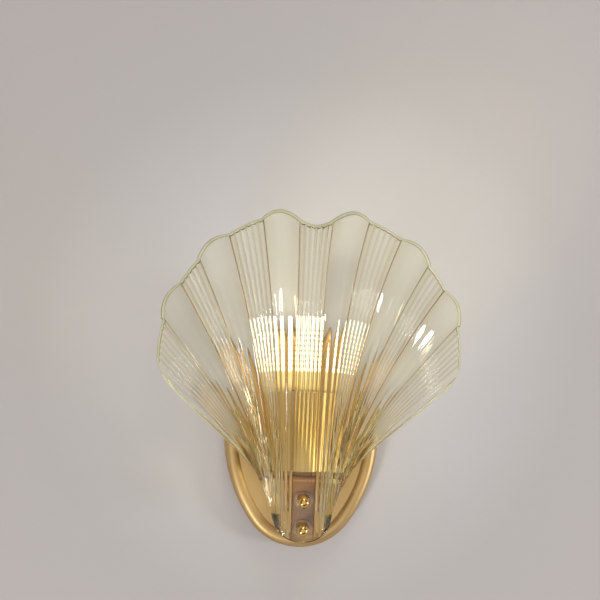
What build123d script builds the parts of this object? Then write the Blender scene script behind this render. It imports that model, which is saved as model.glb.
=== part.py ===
from build123d import *
import math
import os

# Shell wall sconce. Millimetres, +Z up. The origin is the middle of the oval back plate, on the
# wall. The wall is the plane Y = 0 and the front of the lamp faces -Y, so a piece that stands
# `d` millimetres off the wall is at Y = -d. X = 0 is the plane of symmetry.

# ---- driving sizes -------------------------------------------------------------------------------
# oval back plate: a pressed brass pan with a half-round bead round a flat panel
PLATE_HALF_WIDTH = 64.0
PLATE_HALF_HEIGHT = 94.0
PLATE_END_RADIUS = 50.0
PLATE_DEPTH = 18.0
BEAD_RADIUS = 6.25
PANEL_DROP = 2.5
PLATE_SHEET = 1.5

# mounting bar, screwed to the wall behind the plate, its ends bent forward into lugs
BAR_WIDTH = 16.0
BAR_SHEET = 2.0
BAR_BEND = 3.5
LUG_REACH = 11.0
WALL_SCREW_PITCH = 60.0
WALL_SLOT_LENGTH = 12.0
WALL_SLOT_RADIUS = 2.5
CABLE_ENTRY_RADIUS = 6.0
SIDE_SCREW_DEPTH = 7.5
SIDE_SCREW_LENGTH = 6.0
EARTH_SCREW_INSET = 14.9

# terminal block, on a stud welded to the back of the panel
BLOCK_WIDTH = 27.0
BLOCK_HEIGHT = 16.0
BLOCK_DEPTH = 9.0
BLOCK_Z = 36.0
BLOCK_POLES = 3
BLOCK_SCREW_RADIUS = 1.8
BLOCK_STUD_RADIUS = 1.5
BLOCK_NUT_FLAT = 5.5
BLOCK_NUT_HEIGHT = 2.4

# bent brass strip that carries the shade and the lampholder
ARM_WIDTH = 19.0
ARM_SHEET = 2.5
ARM_BEND = 4.5
ARM_TOP_Z = -30.0
ARM_FLANGE = 33.0
ARM_END_Z = -77.0
ARM_SCREW_PITCH = 12.0
ARM_SCREW_DROP = 22.0

# M4 screws and nuts
M4_RADIUS = 2.0
SCREW_HEAD_RADIUS = 3.8
SCREW_HEAD_HEIGHT = 2.2
SCREW_SLOT_WIDTH = 0.9
NUT_FLAT = 7.0
NUT_HEIGHT = 3.2

# glass shell, a fan of six smooth lobes with fluted bands between them
GLASS_WALL = 4.5
FOOT_Z = -84.0
FOOT_HALF_WIDTH = 24.5
FOOT_ROUNDING = 22.0
FOOT_FRONT = 62.0
FOOT_EDGE = 36.0
SHELL_LEAN = 0.16
SHELL_FLARE = 42.0
RIM_CENTRE_Z = 51.0
RIM_RADIUS = 118.5
RIM_CROWN = 7.5
RIM_EDGE = 86.0
RIM_DIP = 11.0
DIP_ANGLE = 9.0
LOBE_RISE = 6.0
LOBE_RELIEF = 3.5
LOBE_SPANS = ((8.0, 20.0), (33.5, 46.5), (58.5, 72.5))
FAN_ANGLE = 98.0
CORNER_ANGLE = 86.0
CORNER_TRIM = 9.0
EDGE_CURL = 12.0
FAN_CROWDING = 3.43
LEAVE_ANGLE = 12.0
LEAVE_REACH = 0.30
ARRIVE_SHARE = 0.56
ARRIVE_EASE = 0.22
ARRIVE_REACH = 0.33
FLARE_POWER = 5.3
EDGE_POWER = 1.5
FOOT_FALL_POWER = 2.5
CROWN_POWER = 2.5
LOBE_STEPS = 4
FAN_STEPS = 7

# shade fixing: two studs, a soft pad behind the glass, a clear washer and a ball nut on each
UPPER_STUD_Z = -48.8
LOWER_STUD_Z = -71.9
STUD_HOLE_RADIUS = 3.25
STUD_HEAD_RADIUS = 3.5
STUD_HEAD_HEIGHT = 1.5
STUD_IN_NUT = 6.0
PAD_SHEET = 1.0
PAD_MARGIN = 1.0
WASHER_RADIUS = 7.5
WASHER_SHEET = 1.0
BALL_RADIUS = 5.2
NECK_RADIUS = 4.2
NECK_HEIGHT = 1.6

# lampholder, clamped on a hollow nipple through the arm
HOLDER_CLEARANCE = 3.5
NIPPLE_RADIUS = 5.0
NIPPLE_BORE = 3.5
NIPPLE_NUT_FLAT = 14.0
NIPPLE_NUT_HEIGHT = 3.5
CUP_RADIUS = 22.0
CUP_SHEET = 0.8
CUP_HEIGHT = 68.0
CUP_BEVEL = 4.0
INSULATOR_DROP = 8.0
SOCKET_RADIUS = 13.4
SOCKET_SHEET = 0.6
SOCKET_HEIGHT = 28.0
SOCKET_FLOOR = 3.0
CONTACT_WIDTH = 6.0
CONTACT_SHEET = 0.6
CLAMP_SIZE = 7.0
CLAMP_OFFSET = 13.0
GROMMET_RADIUS = 4.0
GROMMET_FLANGE = 2.0
GROMMET_LIP = 1.2
GROMMET_Z = -14.0

# lamp: a column of small LEDs on an E27 cap
CAP_RADIUS = 13.1
CAP_HEIGHT = 24.0
TIP_RADIUS = 4.8
TIP_HEIGHT = 1.6
TIP_COLLAR_RADIUS = 9.0
TIP_COLLAR_HEIGHT = 2.4
BASE_RADIUS = 17.0
BASE_HEIGHT = 21.0
COLUMN_RADIUS = 15.0
COLUMN_HEIGHT = 38.0
COLUMN_SIDES = 12
CHIP_ROWS = 9
CHIP_WIDTH = 3.2
CHIP_HEIGHT = 2.6
CHIP_SHEET = 0.8
LAMP_TOP_HEIGHT = 7.0
LAMP_TOP_BEVEL = 2.0

# clearances
SEAT_GAP = 0.3
GLASS_SEAT_GAP = 0.2
THREAD_GAP = 0.03
SCREW_GAP = 0.25

# ---- places worked out from the sizes ------------------------------------------------------------
PANEL_FRONT = PLATE_DEPTH - PANEL_DROP
PANEL_BACK = PANEL_FRONT - PLATE_SHEET
BEAD_LEVEL = PLATE_DEPTH - BEAD_RADIUS
BEAD_ANGLE = math.acos(1 - PANEL_DROP / BEAD_RADIUS)
LUG_X = PLATE_HALF_WIDTH - PLATE_SHEET - 2 * SEAT_GAP
EARTH_SCREW_X = LUG_X - EARTH_SCREW_INSET
HOLDER_DEPTH = PANEL_FRONT + HOLDER_CLEARANCE + CUP_RADIUS
LEAN_ANGLE = math.atan(SHELL_LEAN)
ARM_SCREWS = [ARM_TOP_Z - ARM_SCREW_DROP + side * ARM_SCREW_PITCH / 2 for side in (-1, 1)]
STUDS = {"upper": UPPER_STUD_Z, "lower": LOWER_STUD_Z}
CUP_TOP_Z = ARM_TOP_Z + CUP_HEIGHT
CUP_FLOOR_Z = ARM_TOP_Z + CUP_SHEET
INSULATOR_BASE_Z = CUP_FLOOR_Z + NIPPLE_NUT_HEIGHT
INSULATOR_TOP_Z = CUP_TOP_Z - INSULATOR_DROP
INSULATOR_RADIUS = CUP_RADIUS - CUP_SHEET - SEAT_GAP
SOCKET_OUTER = SOCKET_RADIUS + SOCKET_SHEET
SOCKET_BASE_Z = INSULATOR_TOP_Z - SOCKET_HEIGHT
TIP_Z = SOCKET_BASE_Z + SOCKET_FLOOR
CAP_BASE_Z = TIP_Z + TIP_HEIGHT + TIP_COLLAR_HEIGHT
BASE_Z = CAP_BASE_Z + CAP_HEIGHT
COLUMN_Z = BASE_Z + BASE_HEIGHT
LAMP_TOP_Z = COLUMN_Z + COLUMN_HEIGHT


def save(node, *solids):
    """Write one node, as one solid or as a group of separate like solids."""
    shape = solids[0] if len(solids) == 1 else Compound(children=list(solids))
    shape.label = node
    export_step(shape, f"parts/{node}.step")


def wall_plane(d, x=0.0, z=0.0):
    """A plane parallel to the wall and d off it: X right, Y up, normal towards the front."""
    return Plane(origin=(x, -d, z), x_dir=(1, 0, 0), z_dir=(0, -1, 0))


def level_plane(z, d=HOLDER_DEPTH, x=0.0):
    """A level plane at height z, on the upright axis of the lampholder unless d says otherwise."""
    return Plane(origin=(x, -d, z))


def rod(plane, radius, length, bore=0.0):
    """A round bar or tube that starts on a plane and runs along its normal."""
    profile = Circle(radius)
    if bore:
        profile -= Circle(bore)
    return extrude(plane * profile, length)


def hex_nut(plane, flat, height, bore):
    """A hexagon nut that stands on a plane."""
    profile = RegularPolygon(flat / 2, 6, major_radius=False) - Circle(bore)
    return extrude(plane * profile, height)


def pan_screw(plane, length):
    """An M4 pan-head screw: its head stands on the plane and its shank runs back through it."""
    bevel = SCREW_HEAD_HEIGHT / 3
    head_side = [(M4_RADIUS, 0), (SCREW_HEAD_RADIUS, 0), (SCREW_HEAD_RADIUS, SCREW_HEAD_HEIGHT - bevel)]
    crown = [(SCREW_HEAD_RADIUS - bevel, SCREW_HEAD_HEIGHT), (0, SCREW_HEAD_HEIGHT)]
    shank = [(0, -length), (M4_RADIUS, -length)]
    half = make_face(Polyline(*head_side, *crown, *shank, close=True))
    screw = revolve(Plane.XZ * half, Axis.Z)
    slot = Box(3 * SCREW_HEAD_RADIUS, SCREW_SLOT_WIDTH, SCREW_HEAD_HEIGHT)
    screw -= slot.moved(Location((0, 0, SCREW_HEAD_HEIGHT)))
    return plane.location * screw


def bent_strip(points, width_dir, width, sheet, bend):
    """Flat strip bent along a line of points, which follows the middle of the sheet."""
    path = FilletPolyline(*points, radius=bend)
    across = Plane(origin=path @ 0, x_dir=width_dir, z_dir=path % 0)
    return sweep(across * Rectangle(width, sheet), path=path)


# ---- back plate ----------------------------------------------------------------------------------
def bead_section():
    """Half-round bead with a straight skirt to the wall: X out from the bead's middle, Y off the wall."""
    inner = BEAD_RADIUS - PLATE_SHEET
    turn = 90 + math.degrees(BEAD_ANGLE)
    outer_arc = CenterArc((0, BEAD_LEVEL), BEAD_RADIUS, 0, turn)
    inner_arc = CenterArc((0, BEAD_LEVEL), inner, 0, turn)
    skirt = Polyline((inner, BEAD_LEVEL), (inner, 0), (BEAD_RADIUS, 0), (BEAD_RADIUS, BEAD_LEVEL))
    return make_face([outer_arc, Line(outer_arc @ 1, inner_arc @ 1), inner_arc, skirt])


def oval_arcs(half_width, half_height, end_radius):
    """Centre, radius, start and turn of the four arcs of a smooth oval, from the right-hand side."""
    rise = half_height - end_radius
    side_radius = (rise**2 + half_width**2 - end_radius**2) / (2 * (half_width - end_radius))
    inset = side_radius - half_width
    turn = math.degrees(math.atan2(rise, inset))
    return [
        ((-inset, 0), side_radius, -turn, 2 * turn),
        ((0, rise), end_radius, turn, 180 - 2 * turn),
        ((inset, 0), side_radius, 180 - turn, 2 * turn),
        ((0, -rise), end_radius, 180 + turn, 180 - 2 * turn),
    ]


def back_plate():
    ring_x = PLATE_HALF_WIDTH - BEAD_RADIUS
    ring_z = PLATE_HALF_HEIGHT - BEAD_RADIUS
    ring_end = PLATE_END_RADIUS - BEAD_RADIUS
    bead = []
    for (x, z), radius, start, turn in oval_arcs(ring_x, ring_z, ring_end):
        place = Location((x, 0, z), (0, -start, 0))
        section = Plane.XY * Pos(radius, 0) * mirror(bead_section(), Plane.XZ)
        bead.append(place * revolve(section, -Axis.Y, turn))
    inset = (BEAD_RADIUS - PLATE_SHEET / 2) * math.sin(BEAD_ANGLE)
    panel_arcs = oval_arcs(ring_x - inset, ring_z - inset, ring_end - inset)
    outline = make_face([CenterArc(*arc) for arc in panel_arcs])
    panel = extrude(wall_plane(PANEL_BACK) * outline, PLATE_SHEET)
    plate = panel + bead
    for z in ARM_SCREWS:
        plate -= rod(wall_plane(0, z=z), M4_RADIUS + SCREW_GAP, PLATE_DEPTH)
    plate -= rod(wall_plane(0, z=GROMMET_Z), GROMMET_RADIUS + PLATE_SHEET, PLATE_DEPTH)
    side_bore = Plane(origin=(-PLATE_HALF_WIDTH - 1, -SIDE_SCREW_DEPTH, 0), z_dir=(1, 0, 0))
    plate -= rod(side_bore, M4_RADIUS + SCREW_GAP, 2 * PLATE_HALF_WIDTH + 2)
    stud_length = BLOCK_DEPTH + BLOCK_NUT_HEIGHT + SEAT_GAP
    root = PLATE_SHEET / 2
    stud = rod(wall_plane(PANEL_BACK - stud_length, z=BLOCK_Z), BLOCK_STUD_RADIUS, stud_length + root)
    return plate + stud


# ---- mounting bar and what is fixed behind the panel ---------------------------------------------
def mounting_bar():
    lug_x = LUG_X - BAR_SHEET / 2
    level = BAR_SHEET / 2
    line = [(-lug_x, -LUG_REACH, 0), (-lug_x, -level, 0), (lug_x, -level, 0), (lug_x, -LUG_REACH, 0)]
    bar = bent_strip(line, (0, 0, 1), BAR_WIDTH, BAR_SHEET, BAR_BEND)
    slot = SlotOverall(WALL_SLOT_LENGTH, 2 * WALL_SLOT_RADIUS)
    for side in (-1, 1):
        bar -= extrude(wall_plane(0, x=side * WALL_SCREW_PITCH / 2) * slot, BAR_SHEET)
    bar -= rod(wall_plane(0), CABLE_ENTRY_RADIUS, BAR_SHEET)
    bar -= rod(wall_plane(0, x=EARTH_SCREW_X), M4_RADIUS + THREAD_GAP, BAR_SHEET)
    side_bore = Plane(origin=(-PLATE_HALF_WIDTH, -SIDE_SCREW_DEPTH, 0), z_dir=(1, 0, 0))
    return bar - rod(side_bore, M4_RADIUS + THREAD_GAP, 2 * PLATE_HALF_WIDTH)


def side_screws():
    """Two headless screws through the skirt into the bar's lugs."""
    screws = []
    for side in (-1, 1):
        tip = (side * (PLATE_HALF_WIDTH - SIDE_SCREW_LENGTH), -SIDE_SCREW_DEPTH, 0)
        screw = rod(Plane(origin=tip, z_dir=(side, 0, 0)), M4_RADIUS, SIDE_SCREW_LENGTH)
        slot = Box(2, SCREW_SLOT_WIDTH, 3 * M4_RADIUS)
        screws.append(screw - slot.moved(Location((side * PLATE_HALF_WIDTH, -SIDE_SCREW_DEPTH, 0))))
    return screws


def terminal_block():
    """Three-pole block: a moulded body with a wire way and a screw well for each pole."""
    front = PANEL_BACK
    middle = front - BLOCK_DEPTH / 2
    body = Box(BLOCK_WIDTH, BLOCK_DEPTH, BLOCK_HEIGHT).moved(Location((0, -middle, BLOCK_Z)))
    for x in pole_places():
        wire_way = Plane(origin=(x, -middle, BLOCK_Z - BLOCK_HEIGHT))
        body -= rod(wire_way, BLOCK_SCREW_RADIUS, 2 * BLOCK_HEIGHT)
        for z in well_places():
            well = wall_plane(front - BLOCK_DEPTH, x, z)
            body -= rod(well, BLOCK_SCREW_RADIUS + SCREW_GAP, BLOCK_DEPTH / 2 - BLOCK_SCREW_RADIUS)
    stud_way = wall_plane(front - BLOCK_DEPTH, z=BLOCK_Z)
    return body - rod(stud_way, BLOCK_STUD_RADIUS + SCREW_GAP, BLOCK_DEPTH)


def pole_places():
    pitch = BLOCK_WIDTH / BLOCK_POLES
    return [(pole - (BLOCK_POLES - 1) / 2) * pitch for pole in range(BLOCK_POLES)]


def well_places():
    return (BLOCK_Z - 0.3 * BLOCK_HEIGHT, BLOCK_Z + 0.3 * BLOCK_HEIGHT)


def terminal_screws():
    level = PANEL_BACK - BLOCK_DEPTH
    length = BLOCK_DEPTH / 2 - BLOCK_SCREW_RADIUS
    places = [wall_plane(level, x, z) for x in pole_places() for z in well_places()]
    return [rod(place, BLOCK_SCREW_RADIUS, length) for place in places]


# ---- arm -----------------------------------------------------------------------------------------
def seat_plane(z, offset):
    """A plane on the middle line of the glass foot at height z, moved out by offset from its face."""
    front = FOOT_FRONT + SHELL_LEAN * (z - FOOT_Z)
    out = Vector(0, -math.cos(LEAN_ANGLE), -math.sin(LEAN_ANGLE))
    return Plane(origin=Vector(0, -front, z) + out * offset, x_dir=(1, 0, 0), z_dir=out)


def arm_front(z):
    """How far off the wall the middle of the strip's front leg is at height z."""
    behind = GLASS_WALL + GLASS_SEAT_GAP + PAD_SHEET + ARM_SHEET / 2
    return FOOT_FRONT + SHELL_LEAN * (z - FOOT_Z) - behind / math.cos(LEAN_ANGLE)


def arm():
    top = ARM_TOP_Z - ARM_SHEET / 2
    back = PANEL_FRONT + ARM_SHEET / 2
    line = [
        (0, -back, ARM_TOP_Z - ARM_FLANGE),
        (0, -back, top),
        (0, -arm_front(top), top),
        (0, -arm_front(ARM_END_Z), ARM_END_Z),
    ]
    strip = bent_strip(line, (1, 0, 0), ARM_WIDTH, ARM_SHEET, ARM_BEND)
    for z in ARM_SCREWS:
        strip -= rod(wall_plane(PANEL_FRONT - 1, z=z), M4_RADIUS + SCREW_GAP, ARM_SHEET + 2)
    strip -= rod(level_plane(ARM_TOP_Z - 2 * ARM_SHEET), NIPPLE_RADIUS + THREAD_GAP, 3 * ARM_SHEET)
    behind = -(GLASS_WALL + GLASS_SEAT_GAP + PAD_SHEET + 2 * ARM_SHEET)
    for z in STUDS.values():
        strip -= rod(seat_plane(z, behind), M4_RADIUS + THREAD_GAP, 3 * ARM_SHEET)
    return strip


def shade_studs():
    """Studs riveted through the strip; they pass the pad, the glass and a washer into the ball nuts."""
    strip_back = -(GLASS_WALL + GLASS_SEAT_GAP + PAD_SHEET + ARM_SHEET)
    tip = GLASS_SEAT_GAP + WASHER_SHEET + STUD_IN_NUT
    studs = []
    for z in STUDS.values():
        head = rod(seat_plane(z, strip_back - STUD_HEAD_HEIGHT), STUD_HEAD_RADIUS, STUD_HEAD_HEIGHT)
        studs.append(head + rod(seat_plane(z, strip_back), M4_RADIUS, tip - strip_back))
    return studs


def rear_pad():
    """Soft strip between the brass and the glass, a little narrower than the arm."""
    front = -(GLASS_WALL + GLASS_SEAT_GAP)
    reach = STUD_HOLE_RADIUS + WASHER_RADIUS
    middle = seat_plane((UPPER_STUD_Z + LOWER_STUD_Z) / 2, front - PAD_SHEET)
    length = (UPPER_STUD_Z - LOWER_STUD_Z) / math.cos(LEAN_ANGLE) + reach
    outline = RectangleRounded(ARM_WIDTH - 2 * PAD_MARGIN, length, WASHER_RADIUS / 2)
    pad = extrude(middle * outline, PAD_SHEET)
    for z in STUDS.values():
        pad -= rod(seat_plane(z, front - 2 * PAD_SHEET), M4_RADIUS + SCREW_GAP, 3 * PAD_SHEET)
    return pad


def washer(z):
    return rod(seat_plane(z, GLASS_SEAT_GAP), WASHER_RADIUS, WASHER_SHEET, M4_RADIUS + SCREW_GAP)


def ball_nut(z):
    """A ball-head nut: a short neck, a ball, and a blind thread for the stud."""
    centre = NECK_HEIGHT + math.sqrt(BALL_RADIUS**2 - NECK_RADIUS**2)
    top = centre + BALL_RADIUS
    bore = M4_RADIUS + THREAD_GAP
    depth = STUD_IN_NUT + SEAT_GAP
    ball = ThreePointArc((NECK_RADIUS, NECK_HEIGHT), (BALL_RADIUS, centre), (0, top))
    thread = [(0, top), (0, depth), (bore, depth), (bore, 0)]
    rest = Polyline(*thread, (NECK_RADIUS, 0), (NECK_RADIUS, NECK_HEIGHT))
    nut = revolve(Plane.XZ * make_face([ball, rest]), Axis.Z)
    return seat_plane(z, GLASS_SEAT_GAP + WASHER_SHEET + SEAT_GAP / 3).location * nut


# ---- glass shell ---------------------------------------------------------------------------------
def lobe(angle):
    """How far up a lobe's hump a fan line lies: 0 in the fluted bands, 1 on the crest of a lobe."""
    for start, end in LOBE_SPANS:
        if start < abs(angle) < end:
            return math.sin(math.pi * (abs(angle) - start) / (end - start))
    return 0.0


def corner_share(angle):
    """0 up to the rounded corner of the shell, rising to 1 at its side edge."""
    return max(abs(angle) - CORNER_ANGLE, 0) / (FAN_ANGLE - CORNER_ANGLE)


def rim_radius(angle):
    """Where the fan line at this angle meets the rim, measured from the rim's centre."""
    share = min(abs(angle) / 90, 1)
    radius = RIM_RADIUS + RIM_CROWN * (1 - share**CROWN_POWER)
    radius -= RIM_DIP * math.exp(-((angle / DIP_ANGLE) ** 2))
    radius += LOBE_RISE * lobe(angle)
    return radius - CORNER_TRIM * corner_share(angle) ** 2


def bezier(ends, t):
    """A cubic Bezier curve through four values, at t from 0 to 1."""
    a, b, c, d = ends
    return a * (1 - t) ** 3 + 3 * b * t * (1 - t) ** 2 + 3 * c * t**2 * (1 - t) + d * t**3


def fan_point(angle, t):
    """A place on the shell without its relief, on the fan line at an angle, t from foot to rim.

    Seen from the front each fan line leaves the foot's rounded outline nearly upright and bends
    outward to the rim. Its depth falls from the leaning middle line to the edges at the wall side.
    """
    share = angle / FAN_ANGLE
    turn = math.radians(90) * (1 + FAN_CROWDING) * share / (1 + FAN_CROWDING * abs(share))
    lift = FOOT_ROUNDING * (1 - math.cos(turn))
    foot = Vector(FOOT_HALF_WIDTH * math.sin(turn), 0, FOOT_Z + lift)
    tilt = math.radians(angle)
    rim = Vector(math.sin(tilt), 0, math.cos(tilt)) * rim_radius(angle) + Vector(0, 0, RIM_CENTRE_Z)
    length = (rim - foot).length
    leave = math.radians(LEAVE_ANGLE * share)
    arrive = math.radians(ARRIVE_SHARE * angle * (1 - ARRIVE_EASE * share**4))
    near_foot = foot + Vector(math.sin(leave), 0, math.cos(leave)) * (LEAVE_REACH * length)
    near_rim = rim - Vector(math.sin(arrive), 0, math.cos(arrive)) * (ARRIVE_REACH * length)
    place = bezier((foot, near_foot, near_rim, rim), t)
    rise = RIM_CENTRE_Z + rim_radius(0) - FOOT_Z
    height = bezier((lift, lift + LEAVE_REACH * rise, (1 - ARRIVE_REACH) * rise, rise), t)
    middle = FOOT_FRONT + SHELL_LEAN * height + SHELL_FLARE * t**FLARE_POWER
    edge = FOOT_EDGE + (RIM_EDGE - FOOT_EDGE) * t**EDGE_POWER
    foot_fall = (1 - math.cos(turn)) ** FOOT_FALL_POWER
    rim_fall = 1 - math.cos(math.radians(90) * share)
    fall = (1 - t) * foot_fall + t * rim_fall
    depth = middle - (middle - edge) * fall - EDGE_CURL * t * corner_share(angle) ** 2
    return Vector(place.X, -depth, place.Z)


def shell_point(angle, t, depth):
    """A place on the shell's outer face, or depth below it, with the lobes standing proud."""
    step = 0.002
    across = fan_point(angle + FAN_ANGLE * step, t) - fan_point(angle - FAN_ANGLE * step, t)
    along = fan_point(angle, t + step) - fan_point(angle, max(t - step, 0))
    out = across.cross(along).normalized()
    relief = LOBE_RELIEF * lobe(angle) * min(2.5 * t, 1)
    return fan_point(angle, t) + out * (relief - depth)


def fan_angles():
    """Angles of the fan lines: close together on the lobes and corners, wider in the bands."""
    marks = sorted({edge for span in LOBE_SPANS for edge in span} | {0, CORNER_ANGLE, FAN_ANGLE})
    half = []
    for start, end in zip(marks, marks[1:]):
        curved = lobe((start + end) / 2) > 0 or start == CORNER_ANGLE
        steps = LOBE_STEPS if curved else 1
        half += [start + (end - start) * step / steps for step in range(steps)]
    half.append(FAN_ANGLE)
    return [-angle for angle in reversed(half[1:])] + half


def fan_faces(angle):
    """The outer and inner face's lines along one fan line, both from foot to rim."""
    reaches = [(step / FAN_STEPS) ** 0.9 for step in range(FAN_STEPS + 1)]
    return [Spline([shell_point(angle, t, depth) for t in reaches]) for depth in (0, GLASS_WALL)]


def glass_shade():
    """A loft through the glass's profile on every fan line, closed by a face at each side edge."""
    profiles = []
    for angle in fan_angles():
        outer, inner = fan_faces(angle)
        profiles.append(Wire([outer, Line(outer @ 1, inner @ 1), inner, Line(inner @ 0, outer @ 0)]))
    skin = Shell.make_loft(profiles, ruled=True)
    ends = [Face.make_surface_from_curves(*fan_faces(side * FAN_ANGLE)) for side in (-1, 1)]
    shell = Solid(Shell(Face.sew_faces(skin.faces() + ends)[0]))
    for z in STUDS.values():
        shell -= rod(seat_plane(z, -2 * GLASS_WALL), STUD_HOLE_RADIUS, 4 * GLASS_WALL)
    return shell


# ---- lampholder ----------------------------------------------------------------------------------
def holder_cup():
    """Drawn brass sleeve with a bevelled floor, open at the top."""
    outer = rod(level_plane(ARM_TOP_Z), CUP_RADIUS, CUP_HEIGHT)
    outer = chamfer(outer.edges().sort_by(Axis.Z)[0], CUP_BEVEL)
    inner = rod(level_plane(CUP_FLOOR_Z), CUP_RADIUS - CUP_SHEET, CUP_HEIGHT)
    inner = chamfer(inner.edges().sort_by(Axis.Z)[0], CUP_BEVEL - CUP_SHEET / 2)
    return outer - inner - rod(level_plane(ARM_TOP_Z), NIPPLE_RADIUS + THREAD_GAP, CUP_HEIGHT / 2)


def holder_insulator():
    """Porcelain body: a deep socket for the screw shell, and two wells below for the wire clamps."""
    height = INSULATOR_TOP_Z - INSULATOR_BASE_Z
    body = rod(level_plane(INSULATOR_BASE_Z), INSULATOR_RADIUS, height)
    body = chamfer(body.edges().sort_by(Axis.Z)[0], CUP_BEVEL / 2)
    body -= rod(level_plane(SOCKET_BASE_Z), SOCKET_OUTER + SEAT_GAP, height)
    for side in (-1, 1):
        well = Box(CLAMP_SIZE + SEAT_GAP, CLAMP_SIZE + SEAT_GAP, 2 * CLAMP_SIZE)
        body -= well.moved(Location((side * CLAMP_OFFSET, -HOLDER_DEPTH, INSULATOR_BASE_Z)))
    return body - rod(level_plane(INSULATOR_BASE_Z), NIPPLE_BORE, height)


def wire_clamps():
    clamps = []
    for side in (-1, 1):
        place = (side * CLAMP_OFFSET, -HOLDER_DEPTH, INSULATOR_BASE_Z + CLAMP_SIZE / 2)
        block = Box(CLAMP_SIZE - SEAT_GAP, CLAMP_SIZE - SEAT_GAP, CLAMP_SIZE).moved(Location(place))
        wire_way = Plane(origin=(place[0], -HOLDER_DEPTH - CLAMP_SIZE, place[2]), z_dir=(0, 1, 0))
        clamps.append(block - rod(wire_way, CLAMP_SIZE / 4, 2 * CLAMP_SIZE))
    return clamps


def screw_shell():
    """Thin brass socket; its floor holds it down and leaves the middle free for the contact."""
    tube = rod(level_plane(SOCKET_BASE_Z), SOCKET_OUTER, SOCKET_HEIGHT, SOCKET_RADIUS)
    return tube + rod(level_plane(SOCKET_BASE_Z), SOCKET_OUTER, SOCKET_SHEET, CONTACT_WIDTH)


def centre_contact():
    """Sprung tongue in the floor of the socket, folded once towards the cap's tip."""
    base = SOCKET_BASE_Z + CONTACT_SHEET / 2
    top = TIP_Z - SEAT_GAP - CONTACT_SHEET / 2
    reach = CONTACT_WIDTH / 2 + 1
    rise = [(-reach, base), (reach / 2, base), (reach, (base + top) / 2), (reach / 2, top), (-reach / 2, top)]
    line = [(x, -HOLDER_DEPTH, z) for x, z in rise]
    return bent_strip(line, (0, 1, 0), CONTACT_WIDTH / 2, CONTACT_SHEET, CONTACT_SHEET)


def cable_grommet():
    """Rubber bush in the panel, where the leads pass from the pan to the lampholder."""
    neck_radius = GROMMET_RADIUS + PLATE_SHEET - THREAD_GAP
    back = PANEL_BACK - GROMMET_LIP
    bush = rod(wall_plane(back, z=GROMMET_Z), neck_radius, PLATE_SHEET + 2 * GROMMET_LIP)
    for level in (back, PANEL_FRONT):
        bush += rod(wall_plane(level, z=GROMMET_Z), neck_radius + GROMMET_FLANGE, GROMMET_LIP)
    return bush - rod(wall_plane(0, z=GROMMET_Z), GROMMET_RADIUS, PLATE_DEPTH)


# ---- lamp ----------------------------------------------------------------------------------------
def lamp_base():
    """White housing that widens from the cap to the column."""
    lower = CAP_RADIUS + 1.0
    flare = BASE_HEIGHT / 3
    side = [(lower, BASE_Z), (BASE_RADIUS, BASE_Z + flare), (BASE_RADIUS, COLUMN_Z)]
    half = make_face(Polyline(*side, (0, COLUMN_Z), (0, BASE_Z), close=True))
    return revolve(Plane.XZ * half, Axis.Z).moved(Location((0, -HOLDER_DEPTH, 0)))


def led_column():
    outline = RegularPolygon(COLUMN_RADIUS, COLUMN_SIDES, major_radius=False)
    return extrude(level_plane(COLUMN_Z) * outline, COLUMN_HEIGHT)


def led_chips():
    """Rows of small LED packages, one in a row on each flat of the column."""
    pitch = COLUMN_HEIGHT / CHIP_ROWS
    chips = []
    for side in range(COLUMN_SIDES):
        turn = 360 * (side + 0.5) / COLUMN_SIDES
        for row in range(CHIP_ROWS):
            z = COLUMN_Z + (row + 0.5) * pitch
            out = COLUMN_RADIUS + CHIP_SHEET / 2
            chip = Box(CHIP_SHEET, CHIP_WIDTH, CHIP_HEIGHT).moved(Location((out, 0, 0)))
            chips.append(Location((0, -HOLDER_DEPTH, z), (0, 0, turn)) * chip)
    return chips


def lamp_top():
    disc = rod(level_plane(LAMP_TOP_Z), COLUMN_RADIUS + CHIP_SHEET, LAMP_TOP_HEIGHT)
    return chamfer(disc.edges().sort_by(Axis.Z)[-1], LAMP_TOP_BEVEL)


# ---- every node ----------------------------------------------------------------------------------
os.makedirs("parts", exist_ok=True)

save("back_plate", back_plate())
save("mounting_bar", mounting_bar())
save("side_screws", *side_screws())
save("earth_screw", pan_screw(wall_plane(BAR_SHEET, x=EARTH_SCREW_X), BAR_SHEET))
save("terminal_block", terminal_block())
save("terminal_screws", *terminal_screws())
block_nut_plane = wall_plane(PANEL_BACK - BLOCK_DEPTH - BLOCK_NUT_HEIGHT, z=BLOCK_Z)
block_nut_bore = BLOCK_STUD_RADIUS + THREAD_GAP
block_nut = hex_nut(block_nut_plane, BLOCK_NUT_FLAT, BLOCK_NUT_HEIGHT, block_nut_bore)
save("terminal_block_nut", block_nut)
save("cable_grommet", cable_grommet())

save("arm", arm())
screw_grip = ARM_SHEET + PLATE_SHEET + NUT_HEIGHT + 1
head_planes = [wall_plane(PANEL_FRONT + ARM_SHEET, z=z) for z in ARM_SCREWS]
nut_planes = [wall_plane(PANEL_BACK - NUT_HEIGHT, z=z) for z in ARM_SCREWS]
save("arm_screws", *[pan_screw(plane, screw_grip) for plane in head_planes])
arm_nut_bore = M4_RADIUS + THREAD_GAP
save("arm_nuts", *[hex_nut(plane, NUT_FLAT, NUT_HEIGHT, arm_nut_bore) for plane in nut_planes])

save("shade_studs", *shade_studs())
save("rear_pad", rear_pad())
save("glass_shade", glass_shade())
for name, stud_z in STUDS.items():
    save(f"{name}_washer", washer(stud_z))
    save(f"{name}_ball_nut", ball_nut(stud_z))

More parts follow.
